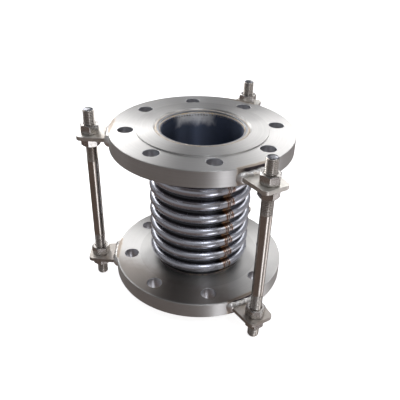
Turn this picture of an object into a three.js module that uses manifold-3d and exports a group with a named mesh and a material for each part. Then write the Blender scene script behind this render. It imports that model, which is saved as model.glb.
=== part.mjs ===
// Metal bellows expansion joint with two flanges and three tie rods.
// Millimetres. +Z is the flow axis and points to the top flange; the origin is the middle of the joint.
import * as THREE from "three";
import { mergeVertices } from "three/addons/utils/BufferGeometryUtils.js";
import Module from "manifold-3d";

const wasm = await Module();
wasm.setup();

// Flanges. Everything with a height is given for the top end and mirrored for the bottom one.
const SEALING_FACE_Z = 101;
const RAISED_FACE_D = 158;
const RAISED_FACE_HEIGHT = 2;
const FLANGE_D = 220;
const FLANGE_THICKNESS = 20;
const RIM_CHAMFER = 1;
const BOLT_CIRCLE_D = 180;
const BOLT_HOLE_D = 18;
const BOLT_HOLES = 8;
const FIRST_BOLT_HOLE_DEG = 7.5;

// Pipe ends, their weld rings in the flange bores, and the flow liner.
const SPIGOT_OD = 108;
const SPIGOT_ID = 102;
const SPIGOT_SETBACK = 1;
const SPIGOT_INNER_END_Z = 68;
const WELD_GROOVE_WIDTH = 3.6;
const WELD_GROOVE_DEPTH = 4.2;
const LINER_OD = 100.6;
const LINER_WALL = 1.2;
const LINER_TOP_Z = 97;
const LINER_BOTTOM_Z = -72;

// Bellows: arcs for crests and roots, with a plain neck at each end.
const CONVOLUTIONS = 8;
const CREST_D = 128.3;
const ROOT_D = 110.6;
const CREST_RADIUS = 6;
const ROOT_RADIUS = 3;
const PITCH = 2 * (CREST_RADIUS + ROOT_RADIUS);
const CONVOLUTIONS_MIDDLE_Z = -1;
const SHELL = 1;
const NECK_END_Z = 78.6;
const NECK_WELD_LEG = 1.5;

// Tie rods, lugs and nuts (M14, right-hand thread).
const ROD_AZIMUTHS_DEG = { left: 180, front: 300, back: 61 };
const ROD_CIRCLE_D = 265;
const ROD_D = 13.6;
const ROD_LENGTH = 238;
const ROD_CHAMFER = 1.3;
const LUG_OUTER_R = 147;
const LUG_ROOT_WIDTH = 38;
const LUG_TIP_WIDTH = 32;
const LUG_THICKNESS = 5;
const LUG_MID_Z = 88;
const LUG_CORNER_CUT = 6;
const LUG_HOLE_D = 15.4;
const LUG_WELD_LEG = 5.4;
const NUT_ACROSS_FLATS = 21;
const NUT_HEIGHT = 11;
const NUT_CHAMFER = 1.2;

// A corner of each nut points this way, in degrees about +Z.
const NUT_CORNER_DEG = {
  top_outer_nut: { left: 40, front: 17, back: 8 },
  top_inner_nut: { left: 22, front: 48, back: 31 },
  bottom_inner_nut: { left: 12, front: 0, back: 44 },
  bottom_outer_nut: { left: 33, front: 25, back: 52 },
};

const GAP = 0.3; // left between pieces that touch
const RIM_SEGMENTS = 64;
const TUBE_SEGMENTS = 32;
const HOLE_SEGMENTS = 16;
const CREST_STEPS = 4;

const material = (color, roughness) =>
  new THREE.MeshStandardMaterial({ color, roughness, metalness: 1 });
const TURNED_STEEL = material(0xbab7b2, 0.32);
const PIPE_STEEL = material(0xa3a4a8, 0.35);
const BELLOWS_STEEL = material(0xa9adb6, 0.2);
const LINER_STEEL = material(0x8d9097, 0.3);
const LUG_STEEL = material(0xa39d94, 0.42);
const ROD_STEEL = material(0x8f8983, 0.3);
const NUT_STEEL = material(0x9a958f, 0.33);
const WELD_STEEL = material(0xc4c0b8, 0.4);

const radians = THREE.MathUtils.degToRad;
const upright = new THREE.Matrix4().makeRotationX(Math.PI / 2);

// A closed geometry as a manifold solid.
function solid(geometry) {
  geometry.deleteAttribute("normal");
  geometry.deleteAttribute("uv");
  const merged = mergeVertices(geometry, 1e-3);
  const mesh = new wasm.Mesh({
    numProp: 3,
    vertProperties: merged.attributes.position.array,
    triVerts: new Uint32Array(merged.index.array),
  });
  return new wasm.Manifold(mesh);
}

// A manifold solid as a geometry.
function geometryOf(body) {
  const { vertProperties, triVerts } = body.getMesh();
  const geometry = new THREE.BufferGeometry();
  geometry.setAttribute("position", new THREE.BufferAttribute(new Float32Array(vertProperties), 3));
  geometry.setIndex(new THREE.BufferAttribute(new Uint32Array(triVerts), 1));
  geometry.computeVertexNormals();
  return geometry;
}

// Turns [radius, z] points round the Z axis.
function turned(profile, segments) {
  const points = profile.map(([radius, z]) => new THREE.Vector2(radius, z));
  return new THREE.LatheGeometry(points, segments).applyMatrix4(upright);
}

// A tube-like piece: its section is closed, counter-clockwise in (radius, z).
const ring = (section, segments) => turned([...section, section[0]], segments);

// A bar along Z from the XY plane, with chamfered ends.
function bar(radius, height, chamfer, segments) {
  const profile = [
    [0, 0],
    [radius - chamfer, 0],
    [radius, chamfer],
    [radius, height - chamfer],
    [radius - chamfer, height],
    [0, height],
  ];
  return turned(profile, segments);
}

// A drill for through holes, longer than any plate here.
function drill(diameter, x, y) {
  const length = 2 * SEALING_FACE_Z + ROD_LENGTH;
  return solid(bar(diameter / 2, length, 0.1, HOLE_SEGMENTS).translate(x, y, -length / 2));
}

const part = new THREE.Group();
const bottomEnd = new THREE.Group();
bottomEnd.rotation.x = Math.PI;
part.add(bottomEnd);

function addPiece(group, name, geometry, look) {
  const mesh = new THREE.Mesh(geometry, look);
  mesh.name = name;
  group.add(mesh);
  return mesh;
}

// Pieces that are the same at both ends are made once, for the top, and turned over for the bottom.
function addPair(name, geometry, look) {
  addPiece(part, "top_" + name, geometry, look);
  addPiece(bottomEnd, "bottom_" + name, geometry.clone(), look);
}

function flange(firstHoleDeg) {
  const outer = FLANGE_D / 2;
  const bore = SPIGOT_OD / 2 + GAP;
  const face = SEALING_FACE_Z - RAISED_FACE_HEIGHT;
  const back = face - FLANGE_THICKNESS;
  let body = solid(ring([
    [bore, back],
    [outer - RIM_CHAMFER, back],
    [outer, back + RIM_CHAMFER],
    [outer, face - RIM_CHAMFER],
    [outer - RIM_CHAMFER, face],
    [RAISED_FACE_D / 2, face],
    [RAISED_FACE_D / 2, SEALING_FACE_Z],
    [bore + WELD_GROOVE_WIDTH, SEALING_FACE_Z],
    [bore, SEALING_FACE_Z - WELD_GROOVE_DEPTH],
  ], RIM_SEGMENTS));
  for (let i = 0; i < BOLT_HOLES; i++) {
    const azimuth = radians(firstHoleDeg + (i * 360) / BOLT_HOLES);
    const reach = BOLT_CIRCLE_D / 2;
    body = body.subtract(drill(BOLT_HOLE_D, reach * Math.cos(azimuth), reach * Math.sin(azimuth)));
  }
  return geometryOf(body);
}

function spigot() {
  const top = SEALING_FACE_Z - SPIGOT_SETBACK;
  return ring([
    [SPIGOT_ID / 2, SPIGOT_INNER_END_Z],
    [SPIGOT_OD / 2, SPIGOT_INNER_END_Z],
    [SPIGOT_OD / 2, top],
    [SPIGOT_ID / 2, top],
  ], TUBE_SEGMENTS);
}

// The weld that fills most of the groove between the pipe end and the flange.
function faceWeld() {
  const inner = SPIGOT_OD / 2 + GAP;
  const top = SEALING_FACE_Z - SPIGOT_SETBACK - GAP;
  const root = SEALING_FACE_Z - WELD_GROOVE_DEPTH;
  const groove = (WELD_GROOVE_WIDTH * (top - root)) / WELD_GROOVE_DEPTH;
  return ring([
    [inner, root + 2 * GAP],
    [inner + groove - 2 * GAP, top],
    [inner, top],
  ], TUBE_SEGMENTS);
}

// The fillet where the bellows' neck meets the back of the flange.
function neckWeld() {
  const inner = ROOT_D / 2 + GAP;
  const back = SEALING_FACE_Z - RAISED_FACE_HEIGHT - FLANGE_THICKNESS - GAP;
  return ring([
    [inner, back - NECK_WELD_LEG],
    [inner + NECK_WELD_LEG, back],
    [inner, back],
  ], TUBE_SEGMENTS);
}

// One side of the bellows' wall, from the bottom neck to the top neck; offset is measured inwards.
function bellowsWall(offset) {
  const centre = CREST_D / 2 - CREST_RADIUS;
  const root = ROOT_D / 2 - offset;
  const crest = CREST_RADIUS - offset;
  const points = [[root, -NECK_END_Z]];
  for (let i = 0; i < CONVOLUTIONS; i++) {
    const middle = CONVOLUTIONS_MIDDLE_Z + (i - (CONVOLUTIONS - 1) / 2) * PITCH;
    points.push([root, middle - PITCH / 2]);
    for (let j = 0; j <= CREST_STEPS; j++) {
      const angle = Math.PI * (j / CREST_STEPS - 0.5);
      points.push([centre + crest * Math.cos(angle), middle + crest * Math.sin(angle)]);
    }
  }
  points.push([root, CONVOLUTIONS_MIDDLE_Z + (CONVOLUTIONS * PITCH) / 2]);
  points.push([root, NECK_END_Z]);
  return points;
}

function bellows() {
  const section = [...bellowsWall(0), ...bellowsWall(SHELL).reverse()];
  return ring(section, TUBE_SEGMENTS);
}

function flowLiner() {
  const outer = LINER_OD / 2;
  return ring([
    [outer - LINER_WALL, LINER_BOTTOM_Z],
    [outer, LINER_BOTTOM_Z],
    [outer, LINER_TOP_Z],
    [outer - LINER_WALL, LINER_TOP_Z],
  ], TUBE_SEGMENTS);
}

// The plate's outline in its own frame: X points away from the flange, and the rim is round the origin.
function lugOutline() {
  const rim = FLANGE_D / 2 + GAP;
  const reach = Math.asin(LUG_ROOT_WIDTH / 2 / rim);
  const root = new THREE.Vector2(rim * Math.cos(reach), LUG_ROOT_WIDTH / 2);
  const tip = new THREE.Vector2(LUG_OUTER_R, LUG_TIP_WIDTH / 2);
  const side = root.clone().sub(tip).setLength(LUG_CORNER_CUT).add(tip);
  const shape = new THREE.Shape();
  shape.moveTo(root.x, -root.y);
  shape.lineTo(side.x, -side.y);
  shape.quadraticCurveTo(tip.x, -tip.y, tip.x, LUG_CORNER_CUT - tip.y);
  shape.lineTo(tip.x, tip.y - LUG_CORNER_CUT);
  shape.quadraticCurveTo(tip.x, tip.y, side.x, side.y);
  shape.lineTo(root.x, root.y);
  shape.absarc(0, 0, rim, reach, -reach, true);
  return shape;
}

function lugPlate() {
  const plate = new THREE.ExtrudeGeometry(lugOutline(), {
    depth: LUG_THICKNESS,
    bevelEnabled: false,
    curveSegments: 5,
  });
  return solid(plate.translate(0, 0, LUG_MID_Z - LUG_THICKNESS / 2));
}

function lug() {
  return geometryOf(lugPlate().subtract(drill(LUG_HOLE_D, ROD_CIRCLE_D / 2, 0)));
}

// A fillet all round the root of the lug, tapering from the rim to the plate.
function lugWeld() {
  const rim = FLANGE_D / 2 + GAP;
  const leg = LUG_WELD_LEG;
  const depth = 2 * leg;
  const wedge = new THREE.BoxGeometry(depth, LUG_ROOT_WIDTH + 4 * leg, LUG_THICKNESS + 4 * leg);
  const corners = wedge.attributes.position;
  for (let i = 0; i < corners.count; i++) {
    if (corners.getX(i) > 0) {
      corners.setY(i, Math.sign(corners.getY(i)) * (LUG_ROOT_WIDTH / 2 + GAP + 0.1));
      corners.setZ(i, Math.sign(corners.getZ(i)) * (LUG_THICKNESS / 2 + GAP + 0.1));
    }
  }
  const limit = new THREE.BoxGeometry(4 * depth, LUG_ROOT_WIDTH + 2 * leg, LUG_THICKNESS + 2 * leg);
  const bead = solid(wedge.translate(rim, 0, LUG_MID_Z)).intersect(solid(limit.translate(rim, 0, LUG_MID_Z)));
  const slot = new THREE.BoxGeometry(2 * LUG_ROOT_WIDTH, LUG_ROOT_WIDTH + 2 * GAP, LUG_THICKNESS + 2 * GAP);
  const disc = bar(rim, FLANGE_THICKNESS, 0.1, RIM_SEGMENTS * 2);
  return geometryOf(
    bead
      .subtract(solid(slot.translate(rim, 0, LUG_MID_Z)))
      .subtract(solid(disc.translate(0, 0, LUG_MID_Z - FLANGE_THICKNESS / 2))),
  );
}

function nut() {
  const corner = NUT_ACROSS_FLATS / Math.sqrt(3);
  const hexagon = turned([
    [0, 0],
    [corner - 2 * NUT_CHAMFER, 0],
    [corner, NUT_CHAMFER],
    [corner, NUT_HEIGHT - NUT_CHAMFER],
    [corner - 2 * NUT_CHAMFER, NUT_HEIGHT],
    [0, NUT_HEIGHT],
  ], 6);
  const cornerToX = hexagon.rotateZ(-Math.PI / 2);
  return geometryOf(solid(cornerToX).subtract(drill(ROD_D + 2 * GAP, 0, 0)));
}

function addNut(name, azimuthDeg, cornerDeg, baseZ) {
  const mesh = addPiece(part, name, nut(), NUT_STEEL);
  const reach = ROD_CIRCLE_D / 2;
  const azimuth = radians(azimuthDeg);
  mesh.position.set(reach * Math.cos(azimuth), reach * Math.sin(azimuth), baseZ);
  mesh.rotation.z = radians(cornerDeg);
}

// A lug and its weld at one end of a rod.
function addLug(end, side, azimuthDeg) {
  const mount = new THREE.Group();
  mount.rotation.z = radians(azimuthDeg);
  mount.position.z = end === "top" ? 0 : -2 * LUG_MID_Z;
  addPiece(mount, `${end}_lug_${side}`, lug(), LUG_STEEL);
  addPiece(mount, `${end}_lug_weld_${side}`, lugWeld(), WELD_STEEL);
  part.add(mount);
}

function addTieRod(side, azimuthDeg) {
  const reach = ROD_CIRCLE_D / 2;
  const azimuth = radians(azimuthDeg);
  const rod = addPiece(
    part, `tie_rod_${side}`, bar(ROD_D / 2, ROD_LENGTH, ROD_CHAMFER, HOLE_SEGMENTS), ROD_STEEL,
  );
  rod.position.set(reach * Math.cos(azimuth), reach * Math.sin(azimuth), -ROD_LENGTH / 2);
  addLug("top", side, azimuthDeg);
  addLug("bottom", side, azimuthDeg);
  const outerBase = LUG_MID_Z + LUG_THICKNESS / 2 + GAP;
  const innerBase = LUG_MID_Z - LUG_THICKNESS / 2 - GAP - NUT_HEIGHT;
  const bases = {
    top_outer_nut: outerBase,
    top_inner_nut: innerBase,
    bottom_inner_nut: -innerBase - NUT_HEIGHT,
    bottom_outer_nut: -outerBase - NUT_HEIGHT,
  };
  for (const [kind, baseZ] of Object.entries(bases)) {
    addNut(`${kind}_${side}`, azimuthDeg, NUT_CORNER_DEG[kind][side], baseZ);
  }
}

addPiece(part, "top_flange", flange(FIRST_BOLT_HOLE_DEG), TURNED_STEEL);
addPiece(bottomEnd, "bottom_flange", flange(-FIRST_BOLT_HOLE_DEG), TURNED_STEEL);
addPair("spigot", spigot(), PIPE_STEEL);
addPair("face_weld", faceWeld(), WELD_STEEL);
addPair("neck_weld", neckWeld(), WELD_STEEL);
addPiece(part, "bellows", bellows(), BELLOWS_STEEL);
addPiece(part, "flow_liner", flowLiner(), LINER_STEEL);
for (const [side, azimuthDeg] of Object.entries(ROD_AZIMUTHS_DEG)) {
  addTieRod(side, azimuthDeg);
}

export default part;
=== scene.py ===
import math

import bmesh
import bpy
import numpy as np
from mathutils import Matrix, Vector


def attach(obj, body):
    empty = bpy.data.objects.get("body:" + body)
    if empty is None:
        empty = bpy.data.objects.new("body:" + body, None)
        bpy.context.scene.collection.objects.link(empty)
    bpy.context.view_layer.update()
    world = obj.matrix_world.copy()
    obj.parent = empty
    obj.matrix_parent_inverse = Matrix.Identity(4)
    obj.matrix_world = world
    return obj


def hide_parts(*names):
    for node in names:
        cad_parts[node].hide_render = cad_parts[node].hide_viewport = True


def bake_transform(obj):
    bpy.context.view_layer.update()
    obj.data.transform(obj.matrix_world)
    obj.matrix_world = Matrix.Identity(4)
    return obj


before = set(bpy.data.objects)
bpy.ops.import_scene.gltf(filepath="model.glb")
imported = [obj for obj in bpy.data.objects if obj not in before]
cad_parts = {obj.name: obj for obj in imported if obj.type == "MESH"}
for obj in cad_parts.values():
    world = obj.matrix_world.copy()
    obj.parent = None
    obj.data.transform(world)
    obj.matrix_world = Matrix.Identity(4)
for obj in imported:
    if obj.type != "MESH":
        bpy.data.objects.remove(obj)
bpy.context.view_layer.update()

BASE, MOVING = "base_end", "moving_end"
ENDS = ("top", "bottom")
RODS = {"left": 180.0, "front": 300.0, "back": 61.0}
MM = 0.001

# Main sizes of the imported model, in millimetres; z is up from the middle between the sealing faces.
FACE_Z, RAISED_R, RAISED_H = 101.0, 79.0, 2.0
FLANGE_R, FLANGE_T = 110.0, 20.0
FRONT_Z = FACE_Z - RAISED_H
BACK_Z = FRONT_Z - FLANGE_T
HOLE_COUNT, HOLE_CIRCLE_R, HOLE_R, FIRST_HOLE = 8, 90.0, 9.0, 7.5
BORE_R, PIPE_R, PIPE_IN_R, PIPE_LOW_Z = 54.3, 54.0, 51.0, 68.0
LINER_R, LINER_WALL, LINER_LOW_Z, LINER_TOP_Z = 50.3, 1.2, -72.0, 97.0
ROD_CIRCLE_R, ROD_R, ROD_END_Z, ROD_CHAMFER = 132.5, 6.8, 119.0, 1.25
THREAD_LENGTH, THREAD_PITCH, THREAD_DEPTH = 66.0, 2.0, 1.05
LUG_Z, LUG_T, LUG_END, LUG_HOLE_R = 88.0, 5.0, 147.0, 7.7
LUG_ROOT_HALF, LUG_TIP_HALF, LUG_CORNER_R, LUG_WELD_LEG = 19.0, 16.0, 6.2, 5.2
NUT_FLATS, NUT_H, NUT_BORE_R, NUT_FACE_R, NUT_EDGE = 21.0, 11.0, 6.92, 9.8, 0.25
CREST_R, ROOT_R, CREST_ARC, ROOT_ARC = 64.15, 55.3, 6.0, 3.0
CONVOLUTIONS, MIDDLE_Z, NECK_END_Z, SHELL = 8, -1.0, 78.6, 1.0
SEAM_AZ = math.radians(303.7)
# The azimuth in degrees of one corner of each nut.
NUT_CORNER = {
    "top_outer_nut": {"left": 40, "front": 17, "back": 8},
    "top_inner_nut": {"left": 22, "front": 48, "back": 31},
    "bottom_inner_nut": {"left": 12, "front": 0, "back": 44},
    "bottom_outer_nut": {"left": 33, "front": 25, "back": 52},
}
# One turn of thread: how far along the pitch, and what share of the depth is cut away there.
THREAD_PROFILE = [(0.0, 1.0), (0.14, 1.0), (0.36, 0.28), (0.5, 0.0), (0.64, 0.0), (0.86, 0.28)]


# ---------------------------------------------------------------- mesh helpers
def add_object(name, vertices, faces, sharp=35, flat_weight=False):
    """A mesh object from millimetre vertices, shaded smooth except over sharp edges."""
    mesh = bpy.data.meshes.new(name)
    mesh.from_pydata((np.asarray(vertices, float) * MM).tolist(), [], [list(f) for f in faces])
    work = bmesh.new()
    work.from_mesh(mesh)
    bmesh.ops.remove_doubles(work, verts=work.verts, dist=2e-7)
    bmesh.ops.dissolve_degenerate(work, edges=work.edges, dist=1e-7)
    bmesh.ops.recalc_face_normals(work, faces=work.faces)
    work.to_mesh(mesh)
    work.free()
    mesh.shade_smooth()
    mesh.set_sharp_from_angle(angle=math.radians(sharp))
    made = bpy.data.objects.new(name, mesh)
    bpy.context.collection.objects.link(made)
    if flat_weight:
        keep = made.modifiers.new("even_faces", "WEIGHTED_NORMAL")
        keep.keep_sharp = True
        keep.weight = 100
    return made


def rounded(points, radii, steps=4):
    """A closed outline with its corners rounded; radii is one number per corner."""
    out = []
    n = len(points)
    for i, (point, radius) in enumerate(zip(points, radii)):
        p = np.array(point, float)
        if radius <= 0:
            out.append(p)
            continue
        a = np.array(points[i - 1], float) - p
        b = np.array(points[(i + 1) % n], float) - p
        la, lb = np.linalg.norm(a), np.linalg.norm(b)
        a, b = a / la, b / lb
        half = math.acos(np.clip(a @ b, -1, 1)) / 2
        cut = min(radius / math.tan(half), 0.48 * la, 0.48 * lb)
        radius = cut * math.tan(half)
        centre = p + (a + b) / np.linalg.norm(a + b) * radius / math.sin(half)
        start, end = p + a * cut - centre, p + b * cut - centre
        sweep = math.pi - 2 * half
        for k in range(steps + 1):
            t = k / steps
            mix = (math.sin((1 - t) * sweep) * start + math.sin(t * sweep) * end) / math.sin(sweep)
            out.append(centre + mix)
    return out


def circle(count):
    """Evenly spaced angles, in radians."""
    return np.array([2 * math.pi * i / count for i in range(count)])


def grid_faces(rows, columns, wrap_rows=True):
    """Quads over a grid of points that closes round its columns, and round its rows if asked."""
    faces = []
    for i in range(rows if wrap_rows else rows - 1):
        for j in range(columns):
            after = (j + 1) % columns
            near, far = i * columns, (i + 1) % rows * columns
            faces.append((near + j, near + after, far + after, far + j))
    return faces


def turn(section, azimuths, centre=(0, 0)):
    """A section of (radius, z), closed on itself, turned round a vertical axis."""
    cos, sin = np.cos(azimuths), np.sin(azimuths)
    rows = [np.stack([centre[0] + r * cos, centre[1] + r * sin, np.full(len(cos), z)], 1) for r, z in section]
    return np.concatenate(rows), grid_faces(len(section), len(azimuths))


def place(made, node, body, slot, material):
    """Puts a piece in the place of a CAD node, on its body and with its material."""
    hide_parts(node)
    made.data.materials.append(material)
    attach(made, body)


def end_body(end):
    return MOVING if end == "top" else BASE


def at_end(vertices, end):
    """Vertices made for the top end, turned over for the bottom one."""
    return vertices if end == "top" else vertices * np.array([1, 1, -1])


def spun(vertices, degrees):
    """Vertices turned about the vertical axis."""
    a = math.radians(degrees)
    turn_z = np.array([[math.cos(a), -math.sin(a), 0], [math.sin(a), math.cos(a), 0], [0, 0, 1]])
    return np.asarray(vertices, float) @ turn_z.T


# ---------------------------------------------------------------- materials
class Nodes:
    """Short ways to add nodes to a tree."""

    def __init__(self, tree):
        self.tree = tree

    def node(self, kind, **settings):
        made = self.tree.nodes.new(kind)
        for key, value in settings.items():
            setattr(made, key, value)
        return made

    def link(self, a, b):
        self.tree.links.new(a, b)

    def feed(self, socket, value):
        if isinstance(value, bpy.types.NodeSocket):
            self.link(value, socket)
        else:
            socket.default_value = value

    def math(self, operation, a, b=0.0):
        made = self.node("ShaderNodeMath", operation=operation)
        self.feed(made.inputs[0], a)
        self.feed(made.inputs[1], b)
        return made.outputs[0]

    def plus(self, a, b):
        return self.math("ADD", a, b)

    def minus(self, a, b):
        return self.math("SUBTRACT", a, b)

    def times(self, a, b):
        return self.math("MULTIPLY", a, b)

    def ramp(self, value, low, high):
        """Goes smoothly from 0 at low to 1 at high."""
        made = self.node("ShaderNodeMapRange", interpolation_type="SMOOTHSTEP")
        self.feed(made.inputs["Value"], value)
        made.inputs["From Min"].default_value = low
        made.inputs["From Max"].default_value = high
        return made.outputs["Result"]


class Look(Nodes):
    """A node material for one kind of steel."""

    def __init__(self, name, colour, roughness, anisotropy=0.0):
        self.material = bpy.data.materials.new(name)
        self.material.use_nodes = True
        super().__init__(self.material.node_tree)
        self.shader = self.tree.nodes["Principled BSDF"]
        self.shader.inputs["Base Color"].default_value = (*colour, 1)
        self.shader.inputs["Metallic"].default_value = 1.0
        self.shader.inputs["Roughness"].default_value = roughness
        self.shader.inputs["Anisotropic"].default_value = anisotropy
        self.shader.inputs["Anisotropic Rotation"].default_value = 0.25
        self.colour = self.rgb(colour)
        self.rough = None
        self.height = None
        coordinates = self.node("ShaderNodeTexCoord")
        self.place = coordinates.outputs["Object"]
        split = self.node("ShaderNodeSeparateXYZ")
        self.link(self.place, split.inputs[0])
        self.x, self.y, self.z = split.outputs

    def rgb(self, colour):
        made = self.node("ShaderNodeRGB")
        made.outputs[0].default_value = (*colour, 1)
        return made.outputs[0]

    def radius(self):
        return self.math("SQRT", self.plus(self.times(self.x, self.x),
                                           self.times(self.y, self.y)))

    def noise(self, scale, detail=3.0, roughness=0.55, stretch=(1, 1, 1)):
        """Noise of the place on the object; scale is features per metre."""
        mapped = self.node("ShaderNodeMapping")
        self.link(self.place, mapped.inputs["Vector"])
        mapped.inputs["Scale"].default_value = stretch
        made = self.node("ShaderNodeTexNoise")
        self.link(mapped.outputs[0], made.inputs["Vector"])
        made.inputs["Scale"].default_value = scale
        made.inputs["Detail"].default_value = detail
        made.inputs["Roughness"].default_value = roughness
        return made.outputs["Fac"]

    def lines(self, along, scale, detail=2.0):
        """One-dimensional noise along a coordinate, as tool marks are."""
        made = self.node("ShaderNodeTexNoise", noise_dimensions="1D")
        self.feed(made.inputs["W"], self.times(along, scale))
        made.inputs["Scale"].default_value = 1.0
        made.inputs["Detail"].default_value = detail
        return made.outputs["Fac"]

    def tint(self, colour, amount):
        """Mixes a colour into the base colour."""
        made = self.node("ShaderNodeMix", data_type="RGBA")
        self.feed(made.inputs[0], amount)
        self.link(self.colour, made.inputs[6])
        made.inputs[7].default_value = (*colour, 1)
        self.colour = made.outputs[2]

    def shade(self, value, low, high):
        """Multiplies the base colour by low to high as value goes from 0 to 1."""
        factor = self.plus(self.times(value, high - low), low)
        made = self.node("ShaderNodeMix", data_type="RGBA", blend_type="MULTIPLY")
        made.inputs[0].default_value = 1.0
        self.link(self.colour, made.inputs[6])
        grey = self.node("ShaderNodeCombineColor")
        for socket in grey.inputs[:3]:
            self.link(factor, socket)
        self.link(grey.outputs[0], made.inputs[7])
        self.colour = made.outputs[2]

    def set_roughness(self, value, low, high):
        self.rough = self.plus(self.times(value, high - low), low)

    def bump(self, value, height):
        """Adds relief of that height in metres."""
        part = self.times(value, height)
        self.height = part if self.height is None else self.plus(self.height, part)

    def finish(self, tangent=None):
        self.link(self.colour, self.shader.inputs["Base Color"])
        if self.rough is not None:
            self.link(self.rough, self.shader.inputs["Roughness"])
        if self.height is not None:
            relief = self.node("ShaderNodeBump")
            relief.inputs["Strength"].default_value = 1.0
            relief.inputs["Distance"].default_value = 1.0
            self.link(self.height, relief.inputs["Height"])
            self.link(relief.outputs[0], self.shader.inputs["Normal"])
        if tangent:
            direction = self.node("ShaderNodeTangent", direction_type="RADIAL", axis=tangent)
            self.link(direction.outputs[0], self.shader.inputs["Tangent"])
        return self.material


def near_lugs(look, half_width=0.0205):
    """Distance in metres from the roots of the three lugs of one end."""
    nearest = None
    for azimuth in RODS.values():
        cos, sin = math.cos(math.radians(azimuth)), math.sin(math.radians(azimuth))
        out = look.plus(look.times(look.x, cos), look.times(look.y, sin))
        along = look.plus(look.times(look.y, cos), look.times(look.x, -sin))
        inward = look.math("MAXIMUM", look.minus((FLANGE_R - 3) * MM, out), 0.0)
        beside = look.math("MAXIMUM", look.minus(look.math("ABSOLUTE", along), half_width), 0.0)
        spot = look.math("SQRT", look.plus(look.times(inward, inward), look.times(beside, beside)))
        nearest = spot if nearest is None else look.math("MINIMUM", nearest, spot)
    return nearest


def turned_steel(end):
    """Turned plate: fine and broad tool marks round the axis, with heat colours and painted shade at the
    lugs, and painted shade on the face of the bottom plate.
    """
    look = Look(f"turned_steel_{end}", (0.66, 0.65, 0.635), 0.42, anisotropy=0.88)
    along = look.plus(look.radius(), look.z)
    fine = look.lines(along, 2600, 1.0)
    broad = look.lines(along, 420, 3.0)
    clouds = look.noise(22, 4)
    ragged_noise = look.noise(90, 5, 0.65)
    look.shade(clouds, 0.84, 1.14)
    look.shade(broad, 0.93, 1.06)
    look.shade(look.ramp(look.radius(), RAISED_R * MM - 0.0001, RAISED_R * MM + 0.0001), 0.9, 1.0)
    # Straw and brown near the lugs, and a dark core on the rim above the weld, partly heat tint and partly
    # painted shade beside the bead.
    wander = look.times(ragged_noise, 0.004)
    heat = look.plus(near_lugs(look), wander)
    look.tint((0.66, 0.47, 0.24), look.times(look.ramp(heat, 0.0058, 0.0036), 0.26))
    look.tint((0.2, 0.13, 0.09), look.times(look.ramp(heat, 0.004, 0.0028), 0.5))
    core = look.plus(near_lugs(look, 0.012), wander)
    rim = look.ramp(look.radius(), FLANGE_R * MM - 0.0007, FLANGE_R * MM - 0.0003)
    look.tint((0.045, 0.04, 0.06), look.times(look.times(look.ramp(core, 0.0105, 0.003), rim), 0.88))
    if end == "bottom":
        # Painted shade: the face of the plate that faces up is darker than its rim, for the shade of the top
        # flange.
        look.shade(look.ramp(look.radius(), 0.1085, 0.1096), 0.72, 0.98)
        # Darkest at the front left, partly dirt and partly painted shade.
        front_left = look.plus(look.times(look.x, -0.454), look.times(look.y, -0.891))
        dirt_and_shade = look.ramp(look.minus(front_left, look.times(ragged_noise, 0.02)), 0.036, 0.07)
        inside = look.ramp(look.radius(), 0.1095, 0.107)
        look.tint((0.2, 0.165, 0.14), look.times(look.times(dirt_and_shade, inside), 0.66))
    look.set_roughness(look.plus(look.times(clouds, 0.6), look.times(fine, 0.4)), 0.34, 0.5)
    look.bump(fine, 0.000003)
    return look.finish("Z")


def drilled_steel():
    """The walls of the bolt holes, with drill marks along their depth."""
    look = Look("drilled_steel", (0.66, 0.67, 0.7), 0.38)
    look.shade(look.lines(look.z, 1800, 2.0), 0.7, 1.15)
    look.set_roughness(look.noise(300, 3), 0.34, 0.5)
    return look.finish()


def pipe_steel():
    """Drawn pipe, a little rusty, and darker at its end."""
    look = Look("pipe_steel", (0.56, 0.57, 0.6), 0.36, anisotropy=0.8)
    rust = look.noise(70, 4)
    look.shade(rust, 0.72, 1.15)
    look.shade(look.ramp(look.z, 0.0972, 0.0982), 1.0, 0.62)
    look.tint((0.42, 0.34, 0.25), look.times(look.ramp(rust, 0.58, 0.72), 0.35))
    look.set_roughness(look.noise(240, 3), 0.24, 0.46)
    look.bump(look.lines(look.plus(look.radius(), look.z), 1500), 0.000006)
    look.bump(look.noise(500, 3), 0.000008)
    return look.finish("Z")


def liner_steel():
    """Sheet with painted shade deep in the bore and at its sides, left bright in a ragged patch near the top
    as a painted highlight.
    """
    look = Look("liner_steel", (0.98, 0.98, 0.99), 0.5, anisotropy=0.9)
    ragged_noise = look.noise(130, 4, 0.6, (1, 1, 0.5))
    # Painted shade deep in the bore and at its sides, with ragged edges; the bright base above it is a
    # painted highlight.
    ragged = look.plus(look.z, look.times(ragged_noise, 0.014))
    off_centre = look.math("ABSOLUTE", look.plus(look.x, 0.008))
    aside = look.plus(off_centre, look.times(ragged_noise, 0.012))
    dark = look.math("MAXIMUM", look.ramp(ragged, 0.1, 0.086), look.ramp(aside, 0.022, 0.034))
    look.shade(look.noise(30, 4, 0.6, (1, 1, 0.35)), 0.8, 1.1)
    look.shade(look.lines(look.z, 700, 3.0), 0.85, 1.1)
    look.tint((0.09, 0.12, 0.2), look.times(dark, 0.93))
    look.set_roughness(look.minus(1.0, dark), 0.42, 0.66)
    look.bump(look.noise(260, 3, 0.5, (1, 1, 0.15)), 0.000006)
    return look.finish("Z")


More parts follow.
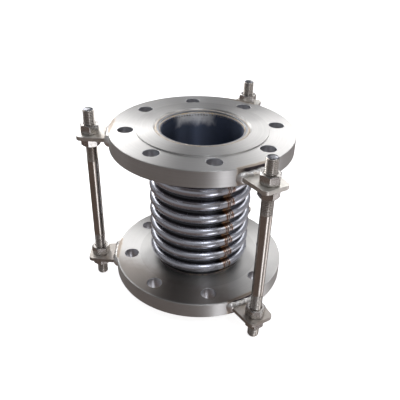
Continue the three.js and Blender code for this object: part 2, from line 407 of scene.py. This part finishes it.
def bellows_steel():
    """Thin formed sheet: painted shade in the valleys, soot beside the seam, and burnt lines along the seam.
    """
    look = Look("bellows_steel", (0.64, 0.655, 0.72), 0.24, anisotropy=0.35)
    angle = look.math("ARCTAN2", look.y, look.x)
    seam = look.minus(SEAM_AZ - 2 * math.pi, angle)
    away = look.times(look.math("ABSOLUTE", seam), 0.06)
    ripple = look.noise(420, 3, 0.6, (1, 1, 0.6))
    edge = look.plus(away, look.times(look.minus(ripple, 0.5), 0.004))
    look.shade(look.noise(40, 4, 0.6, (1, 1, 2)), 0.84, 1.12)
    # Painted shade: the valleys between the crests are darkened.
    valley = look.ramp(look.radius(), 0.0555, 0.0622)
    look.shade(valley, 0.13, 1.06)
    # Soot lies beside the seam, on the valley side of each crest.
    soot = look.ramp(look.plus(seam, look.times(ripple, 0.09)), -0.01, 0.07)
    soot = look.times(soot, look.ramp(look.plus(seam, look.times(ripple, 0.12)), 0.34, 0.17))
    soot = look.times(soot, look.ramp(look.radius(), 0.0632, 0.06))
    look.tint((0.012, 0.01, 0.012), look.times(soot, 0.97))
    look.tint((0.6, 0.47, 0.34), look.times(look.ramp(edge, 0.0075, 0.0045), 0.35))
    # (distance from the seam, half width, colour, strength) of the burnt lines.
    burnt_lines = [
        (0.0038, 0.0013, (0.22, 0.085, 0.03), 0.92),
        (0.0014, 0.0009, (0.17, 0.07, 0.03), 0.9),
    ]
    for spot, half, colour, share in burnt_lines:
        off = look.math("ABSOLUTE", look.minus(edge, spot))
        look.tint(colour, look.times(look.ramp(off, half, half * 0.35), share))
    look.set_roughness(look.noise(190, 3, 0.6, (1, 1, 3)), 0.2, 0.31)
    look.bump(look.lines(look.z, 3200), 0.000003)
    look.bump(look.noise(75, 2, 0.5, (1, 1, 1.5)), 0.000025)
    return look.finish("Z")


def plate_steel(end):
    """Flame-cut plate with mill scale; the bottom lugs are darker."""
    colour = (0.76, 0.735, 0.69) if end == "top" else (0.5, 0.465, 0.43)
    look = Look(f"plate_steel_{end}", colour, 0.42)
    spots = look.noise(140, 5, 0.65)
    look.shade(spots, 0.7, 1.22)
    look.tint((0.36, 0.28, 0.2), look.times(look.ramp(look.noise(55, 4), 0.5, 0.72), 0.4))
    look.set_roughness(look.noise(300, 4), 0.3, 0.56)
    look.bump(spots, 0.00003)
    look.bump(look.noise(1400, 2), 0.000008)
    return look.finish()


def rod_steel():
    """Drawn bar, brownish, with dark end faces."""
    look = Look("rod_steel", (0.57, 0.53, 0.49), 0.3)
    look.shade(look.noise(120, 4, 0.6, (1, 1, 0.3)), 0.74, 1.16)
    rust = look.noise(45, 5, 0.7, (1, 1, 0.5))
    look.tint((0.3, 0.2, 0.13), look.times(look.ramp(rust, 0.5, 0.75), 0.4))
    end_z = ROD_END_Z * MM
    look.tint((0.13, 0.14, 0.17), look.times(look.ramp(look.z, end_z - 0.0009, end_z - 0.0002), 0.85))
    look.set_roughness(look.noise(420, 3, 0.6, (1, 1, 0.2)), 0.18, 0.28)
    look.bump(look.noise(900, 2, 0.5, (1, 1, 0.06)), 0.000003)
    return look.finish()


def nut_steel():
    """Bright nuts with grime in patches."""
    look = Look("nut_steel", (0.6, 0.575, 0.55), 0.26)
    grime = look.noise(190, 5, 0.65)
    look.shade(grime, 0.7, 1.18)
    look.tint((0.22, 0.17, 0.13), look.times(look.ramp(look.noise(90, 4), 0.55, 0.75), 0.5))
    look.set_roughness(look.noise(500, 3), 0.16, 0.36)
    look.bump(look.noise(800, 3), 0.000014)
    return look.finish()


def weld_steel(name, tinted, colour):
    """Weld metal, with heat colours of that strength."""
    look = Look(name, colour, 0.3)
    heat = look.noise(210, 4, 0.6)
    look.shade(look.noise(420, 3), 0.88, 1.1)
    look.tint((0.6, 0.46, 0.26), look.times(look.ramp(heat, 0.5, 0.66), tinted))
    look.tint((0.22, 0.2, 0.26), look.times(look.ramp(heat, 0.64, 0.8), tinted))
    look.set_roughness(look.noise(700, 2), 0.36, 0.52)
    look.bump(look.noise(900, 3), 0.000006)
    return look.finish()


# ---------------------------------------------------------------- flanges
def hole_places():
    angles = [math.radians(FIRST_HOLE + 360 / HOLE_COUNT * i) for i in range(HOLE_COUNT)]
    return [(HOLE_CIRCLE_R * math.cos(a), HOLE_CIRCLE_R * math.sin(a)) for a in angles]


def pierced_ring(inner, outer, z, count, hole_radius, hole_count):
    """A flat ring with the bolt holes left open."""
    work = bmesh.new()

    def loop(radius, steps, x=0.0, y=0.0):
        places = [(x + radius * math.cos(a), y + radius * math.sin(a), z) for a in circle(steps)]
        verts = [work.verts.new(place) for place in places]
        return [work.edges.new((verts[i], verts[(i + 1) % steps])) for i in range(steps)]

    edges = loop(inner, count) + loop(outer, count)
    for x, y in hole_places():
        edges += loop(hole_radius, hole_count, x, y)
    bmesh.ops.triangle_fill(work, use_beauty=True, use_dissolve=False, edges=edges)
    return taken(work)


def taken(work):
    """The vertices and faces of a bmesh, which is freed."""
    work.verts.index_update()
    vertices = np.array([v.co[:] for v in work.verts])
    faces = [[v.index for v in f.verts] for f in work.faces]
    work.free()
    return vertices, faces


def joined(parts):
    """Several (vertices, faces) as one."""
    vertices, faces, shift = [], [], 0
    for part_vertices, part_faces in parts:
        vertices.append(np.asarray(part_vertices, float))
        faces += [[i + shift for i in f] for f in part_faces]
        shift += len(part_vertices)
    return np.concatenate(vertices), faces


def open_turn(profile, azimuths, centre=(0, 0)):
    """A profile of (radius, z), open at its ends, turned round a vertical axis."""
    vertices, _ = turn(profile, azimuths, centre)
    return vertices, grid_faces(len(profile), len(azimuths), wrap_rows=False)


def edge_arc(r0, z0, r1, z1, centre_r, centre_z, steps=5):
    """An arc from one point to the other round a centre, in (radius, z)."""
    a0, a1 = math.atan2(z0 - centre_z, r0 - centre_r), math.atan2(z1 - centre_z, r1 - centre_r)
    if a1 - a0 > math.pi:
        a1 -= 2 * math.pi
    if a0 - a1 > math.pi:
        a1 += 2 * math.pi
    size = math.hypot(r0 - centre_r, z0 - centre_z)
    return [(centre_r + size * math.cos(a0 + (a1 - a0) * k / steps),
             centre_z + size * math.sin(a0 + (a1 - a0) * k / steps)) for k in range(steps + 1)]


def make_flange(end):
    """The top flange; the bottom one is the same turned over, with its holes in line."""
    count, hole_count = 288, 48
    rim_soft, raised_soft, foot_r, hole_soft = 1.0, 0.4, 0.5, 0.6
    azimuths = circle(count)
    rim_r = FLANGE_R - rim_soft
    rim = (edge_arc(rim_r, FRONT_Z, FLANGE_R, FRONT_Z - rim_soft, rim_r, FRONT_Z - rim_soft)
           + edge_arc(FLANGE_R, BACK_Z + rim_soft, rim_r, BACK_Z, rim_r, BACK_Z + rim_soft))
    foot = RAISED_R + foot_r
    raised_r, raised_z = RAISED_R - raised_soft, FACE_Z - raised_soft
    groove_r, groove_depth = BORE_R + 3.6, 4.2
    inside = (edge_arc(foot, FRONT_Z, RAISED_R, FRONT_Z + foot_r, foot, FRONT_Z + foot_r)
              + edge_arc(RAISED_R, raised_z, raised_r, FACE_Z, raised_r, raised_z)
              + [(groove_r + 0.3, FACE_Z), (groove_r, FACE_Z - 0.2), (BORE_R, FACE_Z - groove_depth),
                 (BORE_R, BACK_Z + 0.6), (BORE_R + 0.5, BACK_Z)])
    mouth = HOLE_R + hole_soft
    parts = [
        open_turn(rim, azimuths),
        open_turn(inside, azimuths),
        pierced_ring(foot, rim_r, FRONT_Z, count, mouth, hole_count),
        pierced_ring(BORE_R + 0.5, rim_r, BACK_Z, count, mouth, hole_count),
    ]
    wall = (edge_arc(mouth, FRONT_Z, HOLE_R, FRONT_Z - hole_soft, mouth, FRONT_Z - hole_soft, 3)
            + edge_arc(HOLE_R, BACK_Z + hole_soft, mouth, BACK_Z, mouth, BACK_Z + hole_soft, 3))
    for spot in hole_places():
        parts.append(open_turn(wall, circle(hole_count), spot))
    vertices, faces = joined(parts)
    vertices = at_end(vertices, end)
    made = add_object(f"{end}_flange_body", vertices, faces, sharp=32, flat_weight=True)
    place(made, f"{end}_flange", end_body(end), "turned_flange_steel", TURNED[end])
    made.data.materials.append(DRILLED)
    for polygon in made.data.polygons:
        x, y = polygon.center.x / MM, polygon.center.y / MM
        if min(math.hypot(x - hx, y - hy) for hx, hy in hole_places()) < HOLE_R + 0.4:
            polygon.material_index = 1


# ---------------------------------------------------------------- pipe ends, liner, ring welds
def make_spigot(end):
    """The pipe end in the flange's bore."""
    top = FACE_Z - 1
    corners = [(PIPE_IN_R, PIPE_LOW_Z), (PIPE_R, PIPE_LOW_Z), (PIPE_R, top), (PIPE_IN_R, top)]
    vertices, faces = turn(rounded(corners, [0.5, 0.5, 0.6, 0.9]), circle(240))
    made = add_object(f"{end}_pipe_end", at_end(vertices, end), faces, sharp=40)
    place(made, f"{end}_spigot", end_body(end), "pipe_steel", PIPE)


def ring_bead(section, count, period, depth, skew):
    """A turned weld bead, rippled along its length; section is (radius, z, share of the ripple)."""
    azimuths = circle(count)
    middle_r, middle_z = np.mean([s[0] for s in section]), np.mean([s[1] for s in section])
    turns = round(2 * math.pi * middle_r / period)
    rows = []
    for i, (r, z, share) in enumerate(section):
        phase = azimuths * turns + skew * i
        swell = depth * share * (0.5 + 0.5 * np.sin(phase)) ** 1.5
        swell = swell + depth * share * 0.35 * np.sin(azimuths * 23 + i) * np.sin(azimuths * 7 + 1.3)
        away = np.array([r - middle_r, z - middle_z])
        away = away / (np.linalg.norm(away) + 1e-9)
        radius, height = r + swell * away[0], z + swell * away[1]
        rows.append(np.stack([radius * np.cos(azimuths), radius * np.sin(azimuths), height], 1))
    return np.concatenate(rows), grid_faces(len(section), count)


def make_face_weld(end):
    """The bead between the pipe end and the groove in the raised face, lying below the face."""
    section = [
        (PIPE_R + 0.1, FACE_Z - 4.0, 0), (PIPE_R + 0.1, FACE_Z - 1.5, 0),
        (PIPE_R - 0.3, FACE_Z - 0.95, 0.4), (PIPE_R + 0.3, FACE_Z - 0.72, 1),
        (PIPE_R + 1.1, FACE_Z - 0.95, 1), (PIPE_R + 1.9, FACE_Z - 1.5, 1),
        (PIPE_R + 2.35, FACE_Z - 2.0, 0.4), (PIPE_R + 2.1, FACE_Z - 2.5, 0),
    ]
    vertices, faces = ring_bead(section, 720, 1.9, -0.28, 0.5)
    made = add_object(f"{end}_face_bead", at_end(vertices, end), faces, sharp=60)
    place(made, f"{end}_face_weld", end_body(end), "weld_steel", WELD_BROWN)


def make_neck_weld(end):
    """The small fillet between the bellows' neck and the back of the flange, near black as painted shade."""
    section = [
        (ROOT_R + 0.05, BACK_Z - 0.05, 0), (ROOT_R + 0.05, BACK_Z - 1.75, 0),
        (ROOT_R + 0.45, BACK_Z - 1.5, 0.6), (ROOT_R + 0.75, BACK_Z - 0.85, 1),
        (ROOT_R + 1.4, BACK_Z - 0.45, 0.6), (ROOT_R + 1.7, BACK_Z - 0.05, 0),
    ]
    vertices, faces = ring_bead(section, 480, 2.2, -0.15, 0.5)
    made = add_object(f"{end}_neck_bead", at_end(vertices, end), faces, sharp=60)
    place(made, f"{end}_neck_weld", end_body(end), "weld_steel", WELD_PAINTED_SHADE)


def make_liner():
    """The inner sleeve, and the bead that joins its top to the pipe end."""
    inner, top = LINER_R - LINER_WALL, LINER_TOP_Z
    corners = [(inner, LINER_LOW_Z), (LINER_R, LINER_LOW_Z), (LINER_R, top), (inner, top)]
    vertices, faces = turn(rounded(corners, [0.4, 0.4, 0.3, 0.5]), circle(240))
    made = add_object("flow_sleeve", vertices, faces, sharp=40)
    place(made, "flow_liner", MOVING, "liner_steel", LINER)
    section = [
        (PIPE_IN_R + 0.02, top - 1.0, 0), (PIPE_IN_R + 0.02, top + 1.7, 0.4),
        (PIPE_IN_R - 0.4, top + 1.6, 0.8), (PIPE_IN_R - 1.1, top + 0.9, 1),
        (PIPE_IN_R - 1.8, top - 0.3, 1), (inner - 0.15, top - 1.9, 1), (inner + 0.15, top - 2.8, 0.8),
    ]
    vertices, faces = ring_bead(section, 720, 3.7, -0.45, 0.4)
    made = add_object("sleeve_bead", vertices, faces, sharp=60)
    made.data.materials.append(WELD_BROWN)
    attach(made, MOVING)


# ---------------------------------------------------------------- bellows
def bellows_side(offset):
    """(radius, z, outward direction) up one side of the wall, that far inside its outer surface."""
    crest_steps, root_steps, neck_steps = 14, 10, 4
    crest_centre, root_centre = CREST_R - CREST_ARC, ROOT_R + ROOT_ARC
    crest, root, neck = CREST_ARC - offset, ROOT_ARC + offset, ROOT_R - offset
    pitch = 2 * (CREST_ARC + ROOT_ARC)
    low, high = MIDDLE_Z - CONVOLUTIONS * pitch / 2, MIDDLE_Z + CONVOLUTIONS * pitch / 2

    def crest_arc(middle):
        return [(crest_centre + crest * math.cos(a), middle + crest * math.sin(a), (math.cos(a), math.sin(a)))
                for a in np.linspace(-math.pi / 2, math.pi / 2, crest_steps + 1)]

    def root_arc(middle, start, end):
        count = round(abs(end - start) / math.pi * root_steps) + 1
        return [(root_centre + root * math.cos(a), middle + root * math.sin(a), (-math.cos(a), -math.sin(a)))
                for a in np.linspace(start, end, count)]

    outward = (1.0, 0.0)
    points = [(neck, -NECK_END_Z + (low + NECK_END_Z) * k / neck_steps, outward) for k in range(neck_steps)]
    points += root_arc(low, -math.pi, -1.5 * math.pi)[:-1]
    for i in range(CONVOLUTIONS):
        middle = low + (i + 0.5) * pitch
        points += crest_arc(middle)
        if i < CONVOLUTIONS - 1:
            points += root_arc(middle + pitch / 2, -math.pi / 2, -1.5 * math.pi)[1:-1]
    points += root_arc(high, -math.pi / 2, -math.pi)[1:]
    points += [(neck, high + (NECK_END_Z - high) * (k + 1) / neck_steps, outward) for k in range(neck_steps)]
    return points


def make_bellows():
    """The corrugated shell, with a low rippled bead and a flattened strip along its seam."""
    window, close_step, wide_step = math.radians(6), math.radians(0.3), math.radians(1.5)
    close = np.arange(SEAM_AZ - window, SEAM_AZ + window - 1e-6, close_step)
    wide = np.arange(SEAM_AZ + window, SEAM_AZ - window + 2 * math.pi, wide_step)
    azimuths = np.concatenate([close, wide])
    rows = []
    outer = bellows_side(0.0)
    travelled = 0.0
    for i, (r, z, n) in enumerate(outer):
        if i:
            travelled += math.hypot(r - outer[i - 1][0], z - outer[i - 1][1])
        away = (np.mod(azimuths - SEAM_AZ + math.pi, 2 * math.pi) - math.pi) * r
        bead = np.exp(-(away / 1.1) ** 2) * (0.14 + 0.05 * math.sin(travelled / 1.3 * 2 * math.pi))
        flat = -0.06 * np.exp(-((np.abs(away) - 3.0) / 1.3) ** 2)
        lift = bead + flat - 0.12
        radius, height = r + n[0] * lift, z + n[1] * lift
        rows.append(np.stack([radius * np.cos(azimuths), radius * np.sin(azimuths), height], 1))
    for r, z, n in reversed(bellows_side(SHELL)):
        rows.append(np.stack([r * np.cos(azimuths), r * np.sin(azimuths), np.full(len(azimuths), z)], 1))
    faces = grid_faces(len(rows), len(azimuths))
    made = add_object("bellows_shell", np.concatenate(rows), faces, sharp=60)
    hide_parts("bellows")
    made.data.materials.append(BELLOWS)
    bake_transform(made)


# ---------------------------------------------------------------- lugs
def lug_outline():
    """The plate's outline for a lug at azimuth 0: its root follows the rim, its tip has round corners."""
    root_steps = 15
    rim = FLANGE_R + 0.05
    reach = math.asin(LUG_ROOT_HALF / rim)
    root = [(rim * math.cos(a), rim * math.sin(a)) for a in np.linspace(reach, -reach, root_steps)]
    tip = [(LUG_END, -LUG_TIP_HALF), (LUG_END, LUG_TIP_HALF)]
    return rounded(root + tip, [0] * root_steps + [LUG_CORNER_R] * 2, 10)


def make_lug(end, side, azimuth):
    """A plate with a rod hole and broken edges."""
    work = bmesh.new()

    def loop(points):
        verts = [work.verts.new((p[0], p[1], LUG_Z - LUG_T / 2)) for p in points]
        return [work.edges.new((verts[i], verts[(i + 1) % len(verts)])) for i in range(len(verts))]

    hole = [(ROD_CIRCLE_R + LUG_HOLE_R * math.cos(a), LUG_HOLE_R * math.sin(a)) for a in circle(40)]
    edges = loop(lug_outline()) + loop(hole)
    bmesh.ops.triangle_fill(work, use_beauty=True, use_dissolve=False, edges=edges)
    inner_edges = [e for e in work.edges if len(e.link_faces) == 2]
    bmesh.ops.dissolve_limit(work, angle_limit=0.01, verts=work.verts, edges=inner_edges)
    grown = bmesh.ops.extrude_face_region(work, geom=work.faces[:])
    top = [v for v in grown["geom"] if isinstance(v, bmesh.types.BMVert)]
    bmesh.ops.translate(work, verts=top, vec=(0, 0, LUG_T))
    bmesh.ops.recalc_face_normals(work, faces=work.faces)
    borders = [e for e in work.edges if len(e.link_faces) == 2 and e.calc_face_angle() > 1.0
               and abs(e.verts[0].co.z - e.verts[1].co.z) < 1e-6]
    bmesh.ops.bevel(work, geom=borders, offset=0.45, segments=3, profile=0.5, affect="EDGES",
                    clamp_overlap=True)
    vertices, faces = taken(work)
    vertices = spun(at_end(vertices, end), azimuth)
    made = add_object(f"{end}_lug_plate_{side}", vertices, faces, sharp=40, flat_weight=True)
    place(made, f"{end}_lug_{side}", end_body(end), "lug_steel", PLATE[end])


def weld_path():
    """Closely spaced points (across, up) round the root of a lug, measured from its middle."""
    half_w, half_t, spacing = LUG_ROOT_HALF + 0.02, LUG_T / 2 + 0.02, 0.3
    corners = [(-half_w, -half_t), (half_w, -half_t), (half_w, half_t), (-half_w, half_t)]
    path = rounded(corners, [1.2] * 4, 5)
    dense = []
    for i, p in enumerate(path):
        q = path[(i + 1) % len(path)]
        count = max(1, int(round(np.linalg.norm(q - p) / spacing)))
        dense += [p + (q - p) * k / count for k in range(count)]
    return np.array(dense)


def make_lug_weld(end, side, azimuth, seed):
    """A slightly uneven fillet all round the root of the lug, following the rim."""
    path = weld_path()
    tangent = np.roll(path, -1, 0) - np.roll(path, 1, 0)
    tangent /= np.linalg.norm(tangent, axis=1)[:, None]
    outward = np.stack([tangent[:, 1], -tangent[:, 0]], 1)
    length = np.concatenate([[0], np.cumsum(np.linalg.norm(np.diff(path, axis=0), axis=1))])
    total = length[-1] + np.linalg.norm(path[0] - path[-1])
    along = 2 * math.pi * length / total
    ripples = round(total / 2.8)
    random = np.random.default_rng(seed)
    slow = sum(random.uniform(0.03, 0.09) * np.sin(k * along + random.uniform(0, 6)) for k in (2, 3, 5, 9))
    rows = []
    steps = 9
    for j in range(steps):
        angle = math.pi / 2 * j / (steps - 1)
        bulge = math.sin(2 * angle)
        ripple = 0.018 * bulge * np.sin(ripples * along - 2.2 * bulge)
        leg = LUG_WELD_LEG * (1 + slow) * (0.9 + 0.1 * bulge) * (1 + ripple)
        flank, rise = leg * math.cos(angle) ** 1.4, leg * math.sin(angle) ** 1.4
        spot = path + outward * flank[:, None]
        rim = np.sqrt(np.maximum(FLANGE_R ** 2 - spot[:, 0] ** 2, 1)) - 0.1
        rows.append(np.stack([rim + rise, spot[:, 0], spot[:, 1] + LUG_Z], 1))
    rim = np.sqrt(FLANGE_R ** 2 - path[:, 0] ** 2) - 0.1
    inner = path - outward * 0.15
    for out in (2.4, 0.0):
        rows.append(np.stack([rim + out, inner[:, 0], inner[:, 1] + LUG_Z], 1))
    vertices = spun(at_end(np.concatenate(rows), end), azimuth)
    made = add_object(f"{end}_lug_bead_{side}", vertices, grid_faces(len(rows), len(path)), sharp=70)
    place(made, f"{end}_lug_weld_{side}", end_body(end), "weld_steel", WELD)


# ---------------------------------------------------------------- rods and nuts
def thread_rows(low, high, around):
    """Rows of a right-hand thread as (heights, depths); they follow the helix, cut flat at both ends."""
    turns = int(math.ceil((high - low) / THREAD_PITCH)) + 2
    lift = circle(around) / (2 * math.pi) * THREAD_PITCH
    rows = []
    for k in range(-1, turns):
        for share, drop in THREAD_PROFILE:
            z = low + (k + share) * THREAD_PITCH + lift
            rows.append((np.clip(z, low, high), np.full(around, drop * THREAD_DEPTH)))
    return rows


def helix_faces(rows, around):
    """Quads over the thread's rows; the last column joins the first one a whole turn further on."""
    faces = []
    for i in range(rows - 1):
        for j in range(around):
            after = (j + 1) % around
            shift = len(THREAD_PROFILE) if after == 0 else 0
            if i + 1 + shift < rows:
                near, far = i * around, (i + 1) * around
                faces.append((near + j, near + shift * around + after, far + shift * around + after, far + j))
    return faces


def make_rod(side, azimuth):
    """A bar with a cut thread at both ends, run out towards the plain middle, and chamfered tips."""
    around, run_out = 40, 4.0
    crest_r, tip_r, tip_inner_r = ROD_R - 0.03, ROD_R - ROD_CHAMFER, 2.2
    x, y = ROD_CIRCLE_R * math.cos(math.radians(azimuth)), ROD_CIRCLE_R * math.sin(math.radians(azimuth))
    middle = ROD_END_Z - THREAD_LENGTH
    rows = thread_rows(middle, ROD_END_Z, around)
    angles = circle(around)
    parts = []
    for sign in (1, -1):
        vertices = []
        for z, drop in rows:
            fade = np.clip((z - middle) / run_out, 0, 1)
            radius = np.minimum(crest_r - drop * fade, tip_r + ROD_END_Z - z)
            across, deep = radius * np.cos(sign * angles), radius * np.sin(sign * angles)
            vertices.append(np.stack([x + across, y + deep, sign * z], 1))
        parts.append((np.concatenate(vertices), helix_faces(len(rows), around)))
    shank = [(crest_r, -middle), (ROD_R - 0.02, 3 - middle), (ROD_R - 0.02, middle - 3), (crest_r, middle)]
    parts.append(open_turn(shank, angles, (x, y)))
    for sign in (1, -1):
        tip = open_turn([(tip_r, sign * ROD_END_Z), (tip_inner_r, sign * ROD_END_Z)], angles, (x, y))
        parts.append((tip[0], tip[1] + [tuple(range(around, 2 * around))]))
    vertices, faces = joined(parts)
    made = add_object(f"tie_rod_bar_{side}", vertices, faces, sharp=50)
    place(made, f"tie_rod_{side}", BASE, "rod_steel", ROD)


def hexagon_radius(angle, flats, corner):
    """Distance to a rounded hexagon's side at an angle from a corner."""
    from_corner = (angle + math.pi / 6) % (math.pi / 3) - math.pi / 6
    side = flats / 2 / math.cos(math.pi / 6 - abs(from_corner))
    limit = flats / math.sqrt(3) - corner
    return min(side, limit - corner * 0.25 * (from_corner / (math.pi / 6)) ** 2)


def make_nut(kind, side, azimuth):
    """A hex nut with a chamfered bore and corners; kind says its end and its side of the lug."""
    end = "top" if kind.startswith("top") else "bottom"
    place_name = "outer" if "outer" in kind else "inner"
    lug_gap = LUG_T / 2 + 0.05
    base = LUG_Z + lug_gap if place_name == "outer" else LUG_Z - lug_gap - NUT_H
    low = base if end == "top" else -base - NUT_H
    # Angles from each corner to the next, closer together near the corners.
    from_corner = (0, 1.2, 2.4, 4, 7, 11, 16, 22, 30, 38, 44, 49, 53, 56, 57.6, 58.8)
    angles = [k * math.pi / 3 + math.radians(t) for k in range(6) for t in from_corner]
    hexes = np.array([hexagon_radius(a, NUT_FLATS - 0.1, 0.35) for a in angles])
    cos, sin = np.cos(angles), np.sin(angles)

    def row(radius, height):
        return np.stack([radius * cos, radius * sin, height + 0 * cos], 1)

    drop = np.maximum(hexes - NUT_FACE_R, 0) * math.tan(math.radians(30))
    lower_half = [
        (NUT_BORE_R, 0.7),
        (NUT_BORE_R + 0.7, 0.0),
        (NUT_FACE_R, 0.0),
        (NUT_FACE_R + (hexes - NUT_FACE_R) * 0.5, drop * 0.5),
        (hexes - NUT_EDGE * 0.6, np.maximum(drop - NUT_EDGE * 0.35, 0)),
        (hexes, drop + NUT_EDGE),
    ]
    rows = [row(radius, height) for radius, height in lower_half]
    rows += [row(radius, NUT_H - height) for radius, height in reversed(lower_half)]
    a = math.radians(azimuth)
    centre = np.array([ROD_CIRCLE_R * math.cos(a), ROD_CIRCLE_R * math.sin(a), low])
    vertices = spun(np.concatenate(rows), NUT_CORNER[kind][side]) + centre
    faces = grid_faces(len(rows), len(angles))
    made = add_object(f"{kind}_hex_{side}", vertices, faces, sharp=28, flat_weight=True)
    body = f"{place_name}_nut_{side}" if end == "top" else BASE
    place(made, f"{kind}_{side}", body, "nut_steel", NUT)


# ---------------------------------------------------------------- build
TURNED = {end: turned_steel(end) for end in ENDS}
DRILLED, PIPE, LINER, BELLOWS = drilled_steel(), pipe_steel(), liner_steel(), bellows_steel()
PLATE = {end: plate_steel(end) for end in ENDS}
ROD, NUT = rod_steel(), nut_steel()
WELD = weld_steel("weld_steel", 0.22, (0.9, 0.88, 0.855))
# Near-black weld metal for the neck welds: painted shade of the gap under the bellows.
WELD_PAINTED_SHADE = weld_steel("weld_steel_painted_shade", 0.12, (0.09, 0.08, 0.08))
WELD_BROWN = weld_steel("weld_steel_brown", 0.6, (0.52, 0.47, 0.42))

for end in ENDS:
    make_flange(end)
    make_spigot(end)
    make_face_weld(end)
    make_neck_weld(end)
make_liner()
make_bellows()
for index, (side, azimuth) in enumerate(RODS.items()):
    make_rod(side, azimuth)
    for end in ENDS:
        make_lug(end, side, azimuth)
        make_lug_weld(end, side, azimuth, 10 + 2 * index + (end == "top"))
    for kind in NUT_CORNER:
        make_nut(kind, side, azimuth)


# ---------------------------------------------------------------- floor, light, camera
# The light that the metal sees, as (colour, lowest, highest, softness) for a band between two
# elevations and (colour, azimuth, half width, lowest, highest, softness) for a patch; in degrees.
STUDIO = [
    ((0.14, 0.109, 0.097), -90, -8, 10),  # warm dark ground
    ((0.26, 0.26, 0.27), -8, 38, 8),  # walls
    ((0.1, 0.102, 0.107), 38, 90, 10),  # ceiling
    ((0.6, 0.6, 0.62), 92, 62, 32, 46, 5),  # wide screen behind the object
    ((1.7, 1.7, 1.71), 130, 24, 31, 45, 7),  # its brighter left half
    ((1.7, 1.7, 1.71), 50, 24, 31, 45, 7),  # its brighter right half
    ((3.9, 3.9, 3.9), 68, 9, 14, 30, 4),  # lamp below the screen, right
    ((6.9, 6.9, 6.9), 113, 9, 14, 30, 4),  # lamp below the screen, left
    ((1.4, 1.4, 1.4), 60, 13, 46, 60, 6),  # lamp above the screen, right
    ((1.9, 1.9, 1.9), 122, 13, 42, 58, 6),  # lamp above the screen, left
    ((0.42, 0.43, 0.45), -70, 60, 42, 76, 8),  # soft box high in front
    ((3.6, 3.7, 3.9), -70, 9, 48, 76, 6),  # its bright middle
    ((1.7, 1.7, 1.7), -18, 16, 34, 56, 6),  # lamp on the right
    ((0.26, 0.26, 0.27), -15, 66, -66, -6, 8),  # light thrown back by the ground
    ((2.6, 2.65, 2.8), -61, 7, -46, -20, 4),  # bright strip on the ground, front
    ((1.3, 1.3, 1.34), 2, 11, -46, -20, 6),  # bright strip on the ground, right
]


def make_floor():
    """A white floor just below the rods' feet, which the metal doesn't reflect."""
    section = [(0.001, -119.4), (4000, -119.4), (4000, -121), (0.001, -121)]
    vertices, faces = turn(section, circle(96))
    floor = add_object("studio_floor", vertices, faces)
    look = bpy.data.materials.new("studio_white")
    look.use_nodes = True
    shader = look.node_tree.nodes["Principled BSDF"]
    shader.inputs["Base Color"].default_value = (0.92, 0.92, 0.92, 1)
    shader.inputs["Roughness"].default_value = 0.9
    shader.inputs["Emission Color"].default_value = (1, 1, 1, 1)
    shader.inputs["Emission Strength"].default_value = 0.85
    floor.data.materials.append(look)
    floor.visible_glossy = False


def make_world():
    """The studio's light for the metal, and plain white behind the object."""
    world = bpy.data.worlds.new("studio")
    bpy.context.scene.world = world
    world.use_nodes = True
    nodes = Nodes(world.node_tree)
    split = nodes.node("ShaderNodeSeparateXYZ")
    nodes.link(nodes.node("ShaderNodeTexCoord").outputs["Generated"], split.inputs[0])
    x, y, z = split.outputs
    flat = nodes.math("SQRT", nodes.plus(nodes.times(x, x), nodes.times(y, y)))
    total = None

    def add(colour, share):
        nonlocal total
        lit = nodes.node("ShaderNodeVectorMath", operation="SCALE")
        lit.inputs[0].default_value = colour
        nodes.feed(lit.inputs["Scale"], share)
        if total is None:
            total = lit.outputs[0]
        else:
            both = nodes.node("ShaderNodeVectorMath", operation="ADD")
            nodes.link(total, both.inputs[0])
            nodes.link(lit.outputs[0], both.inputs[1])
            total = both.outputs[0]

    def between(low, high, soft):
        """The share of a band between two elevations in degrees."""
        share = 1.0
        if low > -90:
            share = nodes.ramp(z, math.sin(math.radians(low - soft)), math.sin(math.radians(low + soft)))
        if high < 90:
            fall = nodes.ramp(z, math.sin(math.radians(high + soft)), math.sin(math.radians(high - soft)))
            share = nodes.times(fall, share)
        return share

    def patch(azimuth, half_width, low, high, soft):
        a = math.radians(azimuth)
        facing = nodes.plus(nodes.times(x, math.cos(a)), nodes.times(y, math.sin(a)))
        facing = nodes.math("DIVIDE", facing, nodes.math("MAXIMUM", flat, 0.001))
        outer, inner = math.radians(half_width + soft), math.radians(max(half_width - soft, 0))
        near = nodes.ramp(facing, math.cos(outer), math.cos(inner))
        return nodes.times(near, between(low, high, soft))

    for light in STUDIO:
        colour, where = light[0], light[1:]
        add(colour, between(*where) if len(where) == 3 else patch(*where))
    room, plain = world.node_tree.nodes["Background"], nodes.node("ShaderNodeBackground")
    nodes.link(total, room.inputs["Color"])
    plain.inputs["Color"].default_value = (1, 1, 1, 1)
    choose = nodes.node("ShaderNodeMixShader")
    nodes.link(nodes.node("ShaderNodeLightPath").outputs["Is Camera Ray"], choose.inputs[0])
    nodes.link(room.outputs[0], choose.inputs[1])
    nodes.link(plain.outputs[0], choose.inputs[2])
    nodes.link(choose.outputs[0], world.node_tree.nodes["World Output"].inputs["Surface"])


def make_camera():
    """A camera in front of the object, looking down at it, with a slight roll."""
    place_m = (-0.01244, -0.54418, 0.32861)
    heading, tilt, roll = math.radians(1.3101), math.radians(31.2074), math.radians(1.7934)
    ahead = Vector((math.sin(heading) * math.cos(tilt), math.cos(heading) * math.cos(tilt), -math.sin(tilt)))
    level = Vector((math.cos(heading), -math.sin(heading), 0.0))
    up = level.cross(ahead)
    right = math.cos(roll) * level + math.sin(roll) * up
    over = -math.sin(roll) * level + math.cos(roll) * up
    camera = bpy.data.cameras.new("camera")
    camera.lens = 44.62
    camera.sensor_width = 36.0
    camera.clip_start, camera.clip_end = 0.02, 50
    made = bpy.data.objects.new("camera", camera)
    bpy.context.collection.objects.link(made)
    aim = Matrix((right, over, -ahead)).transposed().to_4x4()
    made.matrix_world = Matrix.Translation(place_m) @ aim
    bpy.context.scene.camera = made


make_floor()
make_world()
make_camera()
bpy.context.scene.view_settings.view_transform = "Standard"
